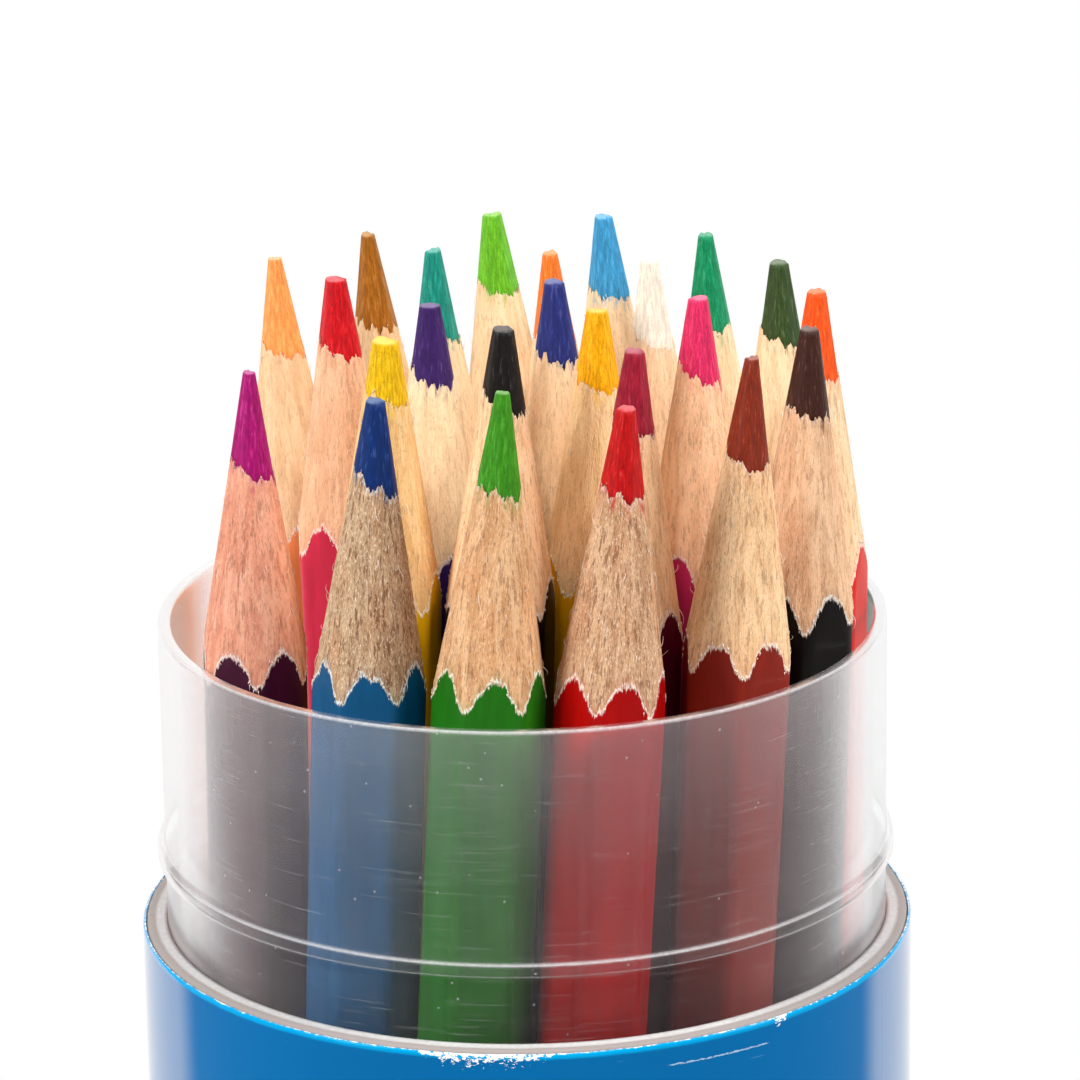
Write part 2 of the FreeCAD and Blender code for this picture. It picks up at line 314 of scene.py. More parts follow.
def casing_material(name, lead, barrel, wood, speckle, streak, seed):
    """Cut cedar-like wood above a ragged edge, and satin lacquer below it."""
    shader = Shader(name + "_casing", **{"Specular IOR Level": 0.1})
    shift = (seed * 3.7, seed * 5.1, seed * 2.3)
    rings = shader.noise(shader.place((1500, 1500, 90), shift), 3, 0.6, 0.6)
    vessels = shader.noise(shader.place((4300, 4300, 190), shift), 3, 0.65, 0.2)
    fibres = shader.noise(shader.place((8000, 8000, 620), shift), 3, 0.7)
    grains = shader.noise(shader.place((12000, 12000, 3000), shift), 2, 0.7)
    teeth = shader.noise(shader.place((3200, 3200, 420), shift), 4, 0.7)
    patches = shader.noise(shader.place((420, 420, 160), shift), 2, 0.5)

    # Wood
    pale = linear(blended(wood, CREAM, 0.25))
    colour = shader.mix(shader.step(rings, 0.36, 0.62), linear(wood, 0.93), pale)
    warm = shader.math("MULTIPLY", shader.step(patches, 0.4, 0.75), 0.6)
    colour = shader.mix(warm, colour, linear(blended(wood, WARM_WOOD, 0.3)))
    veins = shader.math("MULTIPLY", shader.step(vessels, 0.55, 0.62), 0.14 + 0.76 * streak)
    colour = shader.mix(veins, colour, linear(blended(wood, VEIN_BROWN, 0.75)))
    dashes = shader.math("MULTIPLY", shader.step(fibres, 0.55, 0.67), 0.15 + 0.65 * streak)
    colour = shader.mix(dashes, colour, linear(DASH_BROWN))
    pits = shader.math("MULTIPLY", shader.step(grains, 0.45, 0.33), 0.1 + 0.6 * speckle)
    colour = shader.mix(pits, colour, linear(blended(wood, PIT_BROWN, 0.7)))
    sparkle = shader.math("MULTIPLY", shader.step(grains, 0.57, 0.67), 0.1 + 0.5 * speckle)
    colour = shader.mix(sparkle, colour, linear(SPARKLE))

    # Fuzz and dust of the lead at the top of the wood
    below_lead = shader.attribute("below_lead")
    fuzz = shader.math("MULTIPLY", shader.step(below_lead, 0.5, 0.1), shader.step(grains, 0.44, 0.56))
    fuzz = shader.math("MULTIPLY", fuzz, 0.1 + 0.7 * speckle)
    colour = shader.mix(fuzz, colour, linear(blended(lead, FUZZ_WHITE, 0.85)))
    dust = shader.math("MULTIPLY", shader.step(below_lead, 1.6, 0.0), shader.step(teeth, 0.48, 0.7))
    colour = shader.mix(dust, colour, linear(blended(lead, wood, 0.35)))

    # Lacquer below its ragged edge, with some smeared above it and a pale fray along it
    ragged = shader.math("MULTIPLY_ADD", shader.math("SUBTRACT", teeth, 0.5), 1.6, shader.attribute("edge"))
    ragged = shader.math("MULTIPLY_ADD", shader.math("SUBTRACT", grains, 0.5), 0.7, ragged)
    smear = shader.math("MULTIPLY", shader.step(ragged, -1.1, 0.0), shader.step(grains, 0.42, 0.56))
    colour = shader.mix(shader.math("MULTIPLY", smear, 0.35), colour, linear(blended(barrel, wood, 0.4)))
    scuffs = shader.noise(shader.place((900, 900, 160), shift), 4, 0.65)
    paint = shader.mix(shader.step(scuffs, 0.35, 0.75), linear(barrel, 0.94), linear(barrel, 1.05))
    lacquer = shader.step(ragged, 0.02, 0.08)
    colour = shader.mix(lacquer, colour, paint)
    near = shader.step(shader.math("ABSOLUTE", ragged), 0.2, 0.07)
    fray = shader.math("MULTIPLY", near, shader.step(grains, 0.38, 0.54))
    colour = shader.mix(fray, colour, linear(blended(barrel, FRAY_WHITE, 0.86)))
    colour = shader.mix(shader.attribute("flake"), colour, linear(blended(wood, FRAY_WHITE, 0.7)))

    bare = shader.math("SUBTRACT", 1.0, lacquer)
    roughness = shader.math("MULTIPLY_ADD", bare, 0.45, 0.34)
    shader.feed(shader.surface, {"Base Color": colour, "Roughness": roughness})
    relief = shader.math("ADD", shader.math("MULTIPLY", fibres, 0.8), shader.math("MULTIPLY", grains, 0.7))
    relief = shader.math("MULTIPLY", relief, bare)
    relief = shader.math("MULTIPLY_ADD", lacquer, 0.9, relief)
    relief = shader.math("MULTIPLY_ADD", scuffs, 0.06, relief)
    shader.bump(relief, 0.8, 0.00011)
    return shader.material


def lead_material(name, lead, seed):
    """Waxy coloured lead with fine drawn lines, painted glints along them, darker grains and a paler, dusty
    flat tip.
    """
    shader = Shader(name + "_lead", **{"Specular IOR Level": 0.18})
    shift = (seed * 4.3, seed * 1.9, seed * 6.1)
    paleness = min(lead) / 255
    lines = shader.noise(shader.place((6200, 6200, 150), shift), 2, 0.6)
    grains = shader.noise(shader.place((9000, 9000, 4200), shift), 2, 0.6)
    drawn = linear(lead, 0.84 + 0.1 * paleness)
    colour = shader.mix(shader.step(lines, 0.34, 0.66), drawn, linear(lead, 1.05))
    # Painted highlight: paler glints along some of the drawn lines
    painted_glint = shader.math("MULTIPLY", shader.step(lines, 0.58, 0.72), 0.4)
    colour = shader.mix(painted_glint, colour, linear(blended(lead, (255, 255, 255), 0.28)))
    pits = shader.math("MULTIPLY", shader.step(grains, 0.44, 0.32), 0.45)
    colour = shader.mix(pits, colour, linear(lead, 0.6 + 0.3 * paleness))
    worn = shader.math("MULTIPLY", shader.step(shader.attribute("from_tip"), 0.16, 0.02), 0.6)
    colour = shader.mix(worn, colour, linear(blended(lead, (236, 232, 230), 0.5)))
    roughness = shader.math("MULTIPLY_ADD", grains, 0.3, 0.34)
    shader.feed(shader.surface, {"Base Color": colour, "Roughness": roughness})
    relief = shader.math("ADD", lines, shader.math("MULTIPLY", grains, 0.5))
    shader.bump(relief, 0.5, 0.00007)
    return shader.material


def frosted_material():
    """Milky see-through plastic with fine scratches round it, drawn streaks down it and white specks."""
    shader = Shader("frosted_plastic", **{"IOR": 1.46, "Base Color": linear((248, 246, 248))})
    turn, height = shader.around()
    out = shader.node("VectorMath", "Value", {"operation": "LENGTH"}, Vector=shader.place((1, 1, 0)))
    face = shader.math("MULTIPLY", out, FACE_SHIFT)

    def wrapped(across, along, level):
        """Places on the unrolled sleeve, at a level of its own for each pattern."""
        x = shader.math("MULTIPLY", turn, across)
        y = shader.math("MULTIPLY", height, along)
        return shader.node("CombineXYZ", 0, X=x, Y=y, Z=shader.math("ADD", face, level))

    scratches = shader.noise(wrapped(4, 5200, 1.0), 2, 0.6, 0.3)
    streaks = shader.noise(wrapped(70, 30, 2.0), 3, 0.6)
    clouds = shader.noise(wrapped(6, 260, 3.0), 3, 0.6)
    specks = shader.cells(wrapped(13, 520, 4.0))
    nicks = shader.noise(wrapped(160, 3000, 5.0), 2, 0.6)
    facing = shader.node("LayerWeight", "Facing")
    haze = shader.math("MULTIPLY_ADD", shader.step(streaks, 0.32, 0.7), 0.02, 0.043)
    haze = shader.math("MULTIPLY_ADD", shader.step(clouds, 0.4, 0.75), 0.02, haze)
    # Painted shade: less haze on the foot below the bead, so that it shows darker
    shaded_foot_clearing = shader.math("MULTIPLY_ADD", shader.attribute("low"), -0.75, 1.0)
    haze = shader.math("MULTIPLY", haze, shaded_foot_clearing)
    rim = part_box("neck_sleeve")[1].z
    haze = shader.math("MULTIPLY_ADD", shader.step(height, rim - RIM_HAZE_REACH, rim), RIM_HAZE, haze)
    slant = shader.math("MULTIPLY", shader.math("POWER", facing, 3.6), 2.3)
    haze = shader.math("ADD", haze, shader.math("MINIMUM", slant, 0.65))
    haze = shader.math("MULTIPLY_ADD", shader.step(scratches, 0.61, 0.74), 0.11, haze)
    haze = shader.math("MULTIPLY_ADD", shader.step(specks, 0.07, 0.03), 0.32, haze)
    # Painted highlights: the rim and bead rows are whiter plastic, broken by worn nicks
    nicked = shader.math("MULTIPLY_ADD", nicks, 0.6, 0.42)
    haze = shader.math("MAXIMUM", haze, shader.math("MULTIPLY", shader.attribute("rim"), nicked))
    shader.feed(shader.surface, {"Roughness": shader.math("MULTIPLY_ADD", streaks, 0.2, 0.2)})
    shader.bump(streaks, 0.1, 0.00005)
    through = shader.node("BsdfTranslucent", 0, Color=linear((252, 251, 252)))
    milky = shader.blend(0.55, shader.surface.outputs[0], through)
    gloss = shader.node("BsdfGlossy", 0, Color=grey(1), Roughness=0.25)
    milky = shader.blend(shader.step(facing, 0.44, 0.7), milky, gloss)
    shader.finish(shader.blend(haze, shader.node("BsdfTransparent"), milky))
    return shader.material


def print_material():
    """Glossy blue printed paper: a painted highlight of paler blue along its rolled top edge, worn to white
    in places, and a few scratches.
    """
    sockets = {"Specular IOR Level": 0.06, "Coat Roughness": 0.08, "Coat IOR": 2.4}
    shader = Shader("printed_paper", **sockets)
    turn, _ = shader.around()
    specks = shader.noise(shader.place((2600, 2600, 5200)), 3, 0.65)
    patches = shader.noise(shader.place((45, 45, 30)), 2, 0.5)
    scratches = shader.noise(shader.place((260, 260, 5200), (3, 1, 7)), 1, 0.5, 0.4)
    fine = shader.noise(shader.place((900, 900, 900)), 2, 0.5)
    colour = shader.mix(shader.step(patches, 0.3, 0.75), linear((0, 98, 157)), linear((0, 102, 162)))
    marks = shader.math("MULTIPLY", shader.step(scratches, 0.77, 0.83), 0.4)
    colour = shader.mix(marks, colour, linear((150, 200, 235)))
    from_edge = shader.attribute("from_edge")
    # Painted highlight: a paler blue band along the rolled top edge
    colour = shader.mix(shader.step(from_edge, *EDGE_HIGHLIGHT_BAND), colour, linear(EDGE_HIGHLIGHT_BLUE))

    def beside(angle, half, fade):
        """1 within half a width of an angle round the tube, all in degrees, and 0 past the fade."""
        apart = shader.math("ABSOLUTE", shader.math("SUBTRACT", turn, math.radians(angle)))
        return shader.step(apart, math.radians(half + fade), math.radians(half))

    # One broken scratch below the edge
    wobble = shader.math("MULTIPLY_ADD", shader.math("SUBTRACT", patches, 0.5), 0.5, from_edge)
    wobble = shader.math("MULTIPLY_ADD", shader.math("SUBTRACT", specks, 0.5), 0.25, wobble)
    line = shader.step(shader.math("ABSOLUTE", shader.math("SUBTRACT", wobble, SCRATCH_DEPTH)), 0.08, 0.02)
    line = shader.math("MULTIPLY", line, beside(*SCRATCH_ANGLES, 1.0))
    line = shader.math("MULTIPLY", line, shader.step(specks, 0.36, 0.5))
    colour = shader.mix(shader.math("MULTIPLY", line, 0.75), colour, linear((190, 214, 232)))

    # Places where the edge is worn to white
    reach = shader.math("MAXIMUM", beside(*WORN_FRONT), beside(*WORN_RIGHT))
    reach = shader.math("MULTIPLY_ADD", reach, 3.6, 0.3)
    worn = shader.math("MULTIPLY", shader.math("SUBTRACT", specks, 0.42), reach)
    worn = shader.step(shader.math("SUBTRACT", worn, from_edge), 0.0, 0.06)
    colour = shader.mix(worn, colour, linear((236, 238, 240)))

    roughness = shader.math("MULTIPLY_ADD", worn, 0.5, 0.17)
    slant = shader.step(shader.node("LayerWeight", "Facing"), 0.54, 0.64)
    shader.feed(shader.surface, {"Base Color": colour, "Roughness": roughness, "Coat Weight": slant})
    shader.bump(shader.math("MULTIPLY_ADD", worn, -0.6, shader.math("MULTIPLY", fine, 0.1)), 0.4, 0.00008)
    return shader.material


def board_material():
    """Pale grey paperboard with short fibres, fine white flecks and a darker band toward its outside edge.
    """
    shader = Shader("paperboard", **{"Specular IOR Level": 0.3})
    fibres = shader.noise(shader.place((2400, 2400, 1500)), 4, 0.7)
    flecks = shader.noise(shader.place((7200, 7200, 3600), (2, 5, 1)), 2, 0.6)
    colour = shader.mix(shader.step(fibres, 0.35, 0.7), linear((184, 182, 181)), linear((198, 197, 196)))
    colour = shader.mix(shader.step(flecks, 0.66, 0.76), colour, linear((236, 236, 236)))
    # Darker toward the outside edge of the board's end
    outer_darkening = shader.step(shader.math("MULTIPLY_ADD", fibres, 0.0003, shader.away()), *DARK_OUTER_BAND)
    colour = shader.mix(outer_darkening, colour, linear((150, 141, 137)))
    roughness = shader.math("MULTIPLY_ADD", fibres, 0.2, 0.5)
    shader.feed(shader.surface, {"Base Color": colour, "Roughness": roughness})
    shader.bump(shader.math("ADD", fibres, flecks), 0.12, 0.00005)
    return shader.material


def base_material():
    """White moulded plastic with a fine satin skin."""
    shader = Shader("base_plastic")
    skin = shader.noise(shader.place((3200, 3200, 3200)), 3, 0.6)
    tone = shader.noise(shader.place((70, 70, 70)), 2, 0.5)
    colour = shader.mix(shader.step(tone, 0.3, 0.7), linear((222, 222, 224)), linear((232, 232, 233)))
    roughness = shader.math("MULTIPLY_ADD", skin, 0.2, 0.36)
    shader.feed(shader.surface, {"Base Color": colour, "Roughness": roughness})
    shader.bump(skin, 0.25, 0.00006)
    return shader.material


# Mesh building


def mesh_object(name, points, faces, material, attributes=None, place=None):
    mesh = bpy.data.meshes.new(name)
    mesh.from_pydata([tuple(p) for p in points], [], [tuple(f) for f in faces])
    for key, values in (attributes or {}).items():
        mesh.attributes.new(key, "FLOAT", "POINT").data.foreach_set("value", np.asarray(values, np.float32))
    mesh.shade_smooth()
    mesh.materials.append(material)
    made = bpy.data.objects.new(name, mesh)
    bpy.context.scene.collection.objects.link(made)
    if place is not None:
        made.matrix_world = place
    return made


class Skin:
    """Points, faces and point values of one mesh, gathered strip by strip."""

    def __init__(self, *keys):
        self.points = []
        self.faces = []
        self.values = {key: [] for key in keys}

    def add(self, points, faces, **values):
        start = len(self.points)
        self.points.extend(points)
        self.faces.extend([[start + i for i in face] for face in faces])
        for key, held in self.values.items():
            given = values.get(key, 0.0)
            held.extend(np.broadcast_to(given, (len(points),)).tolist())

    def strip(self, radius, height, turn, cap=False, **values):
        """A band of rings round the local Z axis: radius, height and values are rows by columns."""
        shape = np.broadcast_shapes(np.shape(radius), np.shape(height), (1, len(turn)))
        radius = np.broadcast_to(radius, shape)
        height = np.broadcast_to(height, shape)
        points = np.stack([radius * np.cos(turn), radius * np.sin(turn), height], -1).reshape(-1, 3) * MM
        rows, columns = shape
        faces = []
        for row in range(rows - 1):
            for column in range(columns):
                after = (column + 1) % columns
                low, high = row * columns, (row + 1) * columns
                faces.append((low + column, low + after, high + after, high + column))
        if cap:
            faces.append(tuple((rows - 1) * columns + column for column in range(columns)))
        flat = {key: np.broadcast_to(value, shape).ravel() for key, value in values.items()}
        self.add(points.tolist(), faces, **flat)

    def object(self, name, material, place=None):
        return mesh_object(name, self.points, self.faces, material, self.values, place)


def waves(random, turn, height, bands, pitch):
    """A smooth noise round and along an axis, about -1 to 1: bands is the range of waves round it."""
    total = np.zeros(np.broadcast_shapes(turn.shape, height.shape))
    count = 10
    for _ in range(count):
        around = random.integers(bands[0], bands[1] + 1)
        along = random.normal(0, 1 / pitch)
        total = total + np.sin(around * turn + along * height + random.uniform(0, TURN))
    return total / math.sqrt(count)


def rows_round(values, turn):
    """Each value, or ring of values, as one row round the axis."""
    return np.array([np.broadcast_to(value, turn.shape) for value in values])


def node_points(node):
    mesh = frame["nodes"][node].data
    points = np.zeros(len(mesh.vertices) * 3)
    mesh.vertices.foreach_get("co", points)
    return points.reshape(-1, 3)


# Pencils


def pencil_frame(name):
    """A pencil's place, with Z along it from its foot, X on a corner, and its sizes in millimetres."""
    joint = next(j for j in frame["joints"] if j["child"] == "pencil_" + name)
    axis = np.array(joint["axis"], float)
    axis = axis / np.linalg.norm(axis)
    side = np.cross([0, 1, 0], axis)
    side = side / np.linalg.norm(side)
    front = np.cross(axis, side)
    casing = node_points(f"pencil_{name}_casing")
    lead = node_points(f"pencil_{name}_lead")
    along = casing @ axis
    foot = casing[along < along.min() + 1e-5]
    middle = [((foot @ d).max() + (foot @ d).min()) / 2 for d in (side, front)]
    origin = middle[0] * side + middle[1] * front + along.min() * axis
    out = foot - origin
    far = out[np.argmax(np.linalg.norm(out, axis=1))]
    corner = far / np.linalg.norm(far)
    place = Matrix.Identity(4)
    for column, direction in enumerate((corner, np.cross(axis, corner), axis)):
        for row in range(3):
            place[row][column] = direction[row]
    place.translation = Vector(origin)
    lead_along = (lead - origin) @ axis
    lead_out = np.linalg.norm(lead - origin - np.outer(lead_along, axis), axis=1)
    top = lead_along > lead_along.max() - 1e-5
    return SimpleNamespace(
        place=place,
        corner=np.linalg.norm(far) / MM,
        lead=lead_out.max() / MM,
        tip=lead_out[top].max() / MM,
        length=lead_along.max() / MM,
    )


def hexagon(turn, corner):
    """The barrel's radius at each angle, with its six edges rounded."""
    flat = corner * math.cos(HALF_SIDE)
    from_face = turn % (2 * HALF_SIDE) - HALF_SIDE
    from_corner = HALF_SIDE - np.abs(from_face)
    centre = (flat - EDGE_ROUNDING) / math.cos(HALF_SIDE)
    tangent = math.atan((flat - EDGE_ROUNDING) * math.tan(HALF_SIDE) / flat)
    inside = np.maximum(EDGE_ROUNDING**2 - (centre * np.sin(from_corner)) ** 2, 0)
    rounded = centre * np.cos(from_corner) + np.sqrt(inside)
    return np.where(np.abs(from_face) > tangent, rounded, flat / np.cos(from_face))


def facets(random, turn, count, depth):
    """A cut surface's radius as a share of the full cone: flats of uneven width and depth."""
    share = np.ones_like(turn)
    for index in range(count):
        facing = TURN * (index + random.uniform(-0.3, 0.3)) / count
        apart = (turn - facing + math.pi) % TURN - math.pi
        cut = 1 - random.uniform(0.2, 1.0) * depth
        flat = cut / np.cos(np.clip(apart, -FACET_REACH, FACET_REACH))
        share = np.where(np.abs(apart) < FACET_REACH, np.minimum(share, flat), share)
    return share


def sharpened(name, random):
    """A pencil's frame with the rings of its cut: barrel, cones, and where lacquer ends and lead begins."""
    cut = pencil_frame(name)
    cut.turn = np.arange(AROUND) * TURN / AROUND
    cut.slope = math.tan(SHARPENING_ANGLE / 2)
    cut.apex = cut.length + cut.tip / cut.slope
    cut.barrel = hexagon(cut.turn, cut.corner)
    cut.wood_share = facets(random, cut.turn, WOOD_FACETS, WOOD_FACET_DEPTH)
    cut.lead_share = facets(random, cut.turn, LEAD_FACETS, LEAD_FACET_DEPTH)
    cut.scallop = cut.apex - cut.barrel / (cut.slope * cut.wood_share)
    cut.ring = cut.apex - cut.lead / cut.slope
    right = cut.place.to_3x3().transposed() @ Vector((1, -0.5, 0))
    lean = math.atan2(right.y, right.x) + random.normal(0, 0.3)
    slant = -random.uniform(*BOUNDARY_SLANT) * np.cos(cut.turn - lean)
    ragged = sum(depth * waves(random, cut.turn, LEVEL, bands, 1) for depth, bands in BOUNDARY_RAGGED)
    cut.boundary = cut.ring + slant + ragged
    return cut


def add_splinter(skin, random, base, along, out, sideways, length, width, lift):
    """A small pointed flake that stands on the surface: directions are unit vectors, sizes in mm."""
    points = [
        base - sideways * width / 2,
        base + sideways * width / 2,
        base + out * width * 0.5,
        base + along * length + out * lift + sideways * random.normal(0, width * 0.5),
    ]
    faces = [(0, 1, 2), (0, 3, 1), (1, 3, 2), (2, 3, 0)]
    skin.add([(p * MM).tolist() for p in points], faces, flake=1.0, **BARE_WOOD)


def add_fibre(skin, random, base, along, out, sideways, length):
    """A loose hair of wood: a bent three-sided rod that thins to its end."""
    bend = random.normal(0, FIBRE_BEND)
    rise = random.uniform(*FIBRE_RISES)
    points = []
    for index in range(FIBRE_SECTIONS + 1):
        share = index / FIBRE_SECTIONS
        lifted = out * (rise * math.sin(share * 2.4))
        centre = base + along * length * share + sideways * bend * share**2 + lifted
        thick = FIBRE_RADIUS * (1 - 0.8 * share)
        for corner in range(3):
            angle = TURN * corner / 3
            points.append(centre + (out * math.cos(angle) + sideways * math.sin(angle)) * thick)
    end = 3 * FIBRE_SECTIONS
    faces = [(0, 2, 1), (end, end + 1, end + 2)]
    for low in range(0, end, 3):
        for corner in range(3):
            after = (corner + 1) % 3
            faces.append((low + corner, low + after, low + 3 + after, low + 3 + corner))
    skin.add([(p * MM).tolist() for p in points], faces, flake=1.0, **BARE_WOOD)


def add_loose_wood(skin, random, cut, speckle):
    """Splinters at both edges of the cut wood, and hairs all over it."""

    def column_at(angle):
        return int(round(angle / TURN * AROUND)) % AROUND

    def on_cone(angle, level):
        """A place on the cut surface, and the directions out of it and round it."""
        out = np.array([math.cos(angle), math.sin(angle), 0])
        sideways = np.array([-math.sin(angle), math.cos(angle), 0])
        column = column_at(angle)
        reach = min(cut.barrel[column], (cut.apex - level) * cut.slope * cut.wood_share[column])
        return out * (reach - ROOT_DEPTH) + np.array([0, 0, level]), out, sideways

    for edge, splinters in ((cut.scallop, LACQUER_SPLINTERS), (cut.boundary, LEAD_SPLINTERS)):
        count, places, ways, lifts, lengths, widths = splinters
        for _ in range(count):
            angle = random.uniform(0, TURN)
            base, out, sideways = on_cone(angle, edge[column_at(angle)] + random.normal(*places))
            along = UP * random.choice(ways)
            lift, length, width = (random.uniform(*sizes) for sizes in (lifts, lengths, widths))
            add_splinter(skin, random, base, along, out, sideways, length, width, lift)
    for _ in range(FIBRES + int(SPECKLED_FIBRES * speckle)):
        angle = random.uniform(0, TURN)
        share = random.uniform(*FIBRE_PLACES)
        low, high = (edge[column_at(angle)] for edge in (cut.scallop, cut.boundary))
        base, out, sideways = on_cone(angle, low + share * (high - low))
        along = UP * random.choice([-1.0, 1.0])
        add_fibre(skin, random, base, along, out, sideways, random.uniform(*FIBRE_LENGTHS))


def make_casing(name, seed, random, cut):
    """The wood: up the barrel and the cut cone, over the thin edge, down the bore and across the foot."""
    lead, barrel, wood, speckle, streak = PENCILS[name]
    turn, scallop, boundary = cut.turn, cut.scallop, cut.boundary
    skin = Skin("edge", "below_lead", "flake")
    below = np.array(BARREL_ROWS)[:, None] * scallop
    above = scallop + np.linspace(0, 1, CONE_ROWS)[1:, None] * (boundary - scallop)
    height = np.concatenate([below, above])
    cone = (cut.apex - height) * cut.slope * cut.wood_share
    grain = 0.0
    for depth, bands, pitch in GRAIN_GROOVES:
        grain = grain + depth * waves(random, turn[None], height, bands, pitch)
    fade = np.clip((height - scallop) / 0.4, 0, 1) * np.clip((boundary - height) / 0.3, 0.3, 1)
    radius = np.minimum(cut.barrel, cone) - np.abs(grain) * fade
    skin.strip(radius, height, turn, edge=scallop - height, below_lead=boundary - height)
    lip = radius[-1] - LEAD_SINK - WOOD_LIP
    bore = np.full(AROUND, cut.lead)
    foot = np.zeros(AROUND)
    skin.strip(
        np.stack([radius[-1], lip, bore]),
        np.stack([boundary, boundary - LIP_DROP, foot]),
        turn,
        edge=BARE_WOOD["edge"],
        below_lead=0.3,
    )
    skin.strip(np.stack([bore, cut.barrel]), np.stack([foot, foot]), turn, **BARE_WOOD)
    add_loose_wood(skin, random, cut, speckle)
    material = casing_material(name, lead, barrel, wood, speckle, streak, seed)
    return skin.object(f"pencil_{name}_wood", material, cut.place)


def make_core(name, seed, random, cut):
    """The lead: from its foot up the bore, then the cut cone to a blunt, uneven tip."""
    turn, length, boundary = cut.turn, cut.length, cut.boundary
    skin = Skin("from_tip")
    depth, bands = TIP_UNEVEN
    tilt = TIP_TILT * np.cos(turn - random.uniform(0, TURN)) + depth * waves(random, turn, LEVEL, bands, 1)
    start = boundary - LEAD_OVERLAP
    rows = np.linspace(0, 1, LEAD_ROWS)[:, None]
    height = start + rows * (length - TIP_TILT + tilt * 0.5 - start)
    cone = np.minimum((cut.apex - height) * cut.slope, cut.lead * 1.2) * cut.lead_share
    sunk = LEAD_SINK * (1 - np.clip((height - boundary + SINK_LENGTH) / SINK_LENGTH, 0, 1))
    radius = np.minimum(cone - sunk, cut.lead + 0.25)
    depth, bands, pitch = LEAD_GROOVES
    radius = radius - depth * np.abs(waves(random, turn[None], height, bands, pitch))
    shaft = cut.lead - LEAD_CLEARANCE
    foot_radius = rows_round((0.02, shaft, shaft), turn)
    foot_height = rows_round((0.03, 0.03, cut.ring - 4), turn)
    crown_radius = rows_round((radius[-1] * 0.86, radius[-1] * 0.4), turn)
    crown_height = rows_round((length - 0.03 + tilt * 0.8, length - 0.01 + tilt * 0.5), turn)
    radius = np.concatenate([foot_radius, radius, crown_radius])
    height = np.concatenate([foot_height, height, crown_height])
    skin.strip(radius, height, turn, cap=True, from_tip=length - height)
    return skin.object(f"pencil_{name}_core", lead_material(name, PENCILS[name][0], seed), cut.place)


def make_pencil(name, seed):
    random = np.random.default_rng(PENCIL_SEED + seed)
    cut = sharpened(name, random)
    casing = make_casing(name, seed, random, cut)
    core = make_core(name, seed, random, cut)
    body = "pencil_" + name
    for piece, part, slot in ((casing, "_casing", "_wood"), (core, "_lead", "_lead")):
        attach(piece, body)
        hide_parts(body + part)


# Tube


def turned_piece(name, node, profile, material, slot, turn, **values):
    """A tube piece from rows of radius and height, which may vary round it."""
    skin = Skin(*values)
    radius = rows_round([r for r, _ in profile], turn)
    height = rows_round([z for _, z in profile], turn)
    skin.strip(radius, height, turn, **{key: rows_round(rows, turn) for key, rows in values.items()})
    piece = skin.object(name, material)
    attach(piece, "tube")
    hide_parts(node)
    return piece


def node_profile(node):
    """Radius and height of a turned node's points, in millimetres."""
    points = node_points(node) / MM
    return np.hypot(points[:, 0], points[:, 1]), points[:, 2]


def arc(centre, radius, start, end, steps):
    """Points of a rounded corner in a profile, angles in degrees from outward to up."""
    angles = np.radians(np.linspace(start, end, steps))
    return [(centre[0] + radius * math.cos(a), centre[1] + radius * math.sin(a)) for a in angles]


def make_sleeve(turn):
    """The frosted neck, with how white each row of its edges is, which paints highlights along the rim and
    the bead, and where it is the clearer foot, whose lesser haze paints shade below the bead.
    """
    radius, height = node_profile("neck_sleeve")
    top, foot = height.max(), height.min()
    bore, bead = radius.min(), radius.max()
    crest = height[radius > bead - 0.01]
    wall = radius[height > top - 2].max()
    soft = 0.22
    bead_low, bead_high = crest.min() - 0.2, crest.max() + 0.2
    profile = [(bore, foot + 1), (bore + 0.3, foot), (wall, foot), (wall, foot + 0.6)]
    edge = [0, 0.2, 0.2, 0]
    levels = np.linspace(foot + 2, bead_low - 0.4, 8)
    profile += [(wall, z) for z in levels] + [(wall, bead_low - 0.05)]
    edge += [0] * 8 + [0.15]
    lower = arc((bead - soft, bead_low + soft), soft, -80, 0, 5)
    upper = arc((bead - soft, bead_high - soft), soft, 0, 80, 5)
    profile += lower + upper + [(wall, bead_high + 0.05)]
    # Painted highlights on the bead: whitest along its upper face, fainter along its lower edge
    edge += [0.45, 0.6, 0.35, 0.2, 0.1, 0.1, 0.15, 0.45, 1.0, 0.7, 0.05]
    levels = np.linspace(bead_high + 0.4, top - 0.6, 10)
    profile += [(wall, z) for z in levels] + [(wall, top - 0.4)]
    edge += [0] * 11
    outer = arc((wall - soft, top - soft), soft, 0, 90, 5)
    inside = arc((bore + soft, top - soft), soft, 90, 180, 5)
    profile += outer + inside
    # Painted highlight round the rim's rounded top
    edge += [0.2, 0.5, 0.9, 1, 1, 1, 1, 0.8, 0.5, 0.2]
    levels = np.linspace(top - 0.6, foot + 1, 12)
    profile += [(bore, z) for z in levels]
    edge += [0] * 12
    # The foot below the bead, where less haze paints it darker as in shade
    low = [1.0 if r > bore + 0.4 and z < bead_low else 0.0 for r, z in profile]
    material = frosted_material()
    return turned_piece("frosted_neck", "neck_sleeve", profile, material, "frosted", turn, rim=edge, low=low)


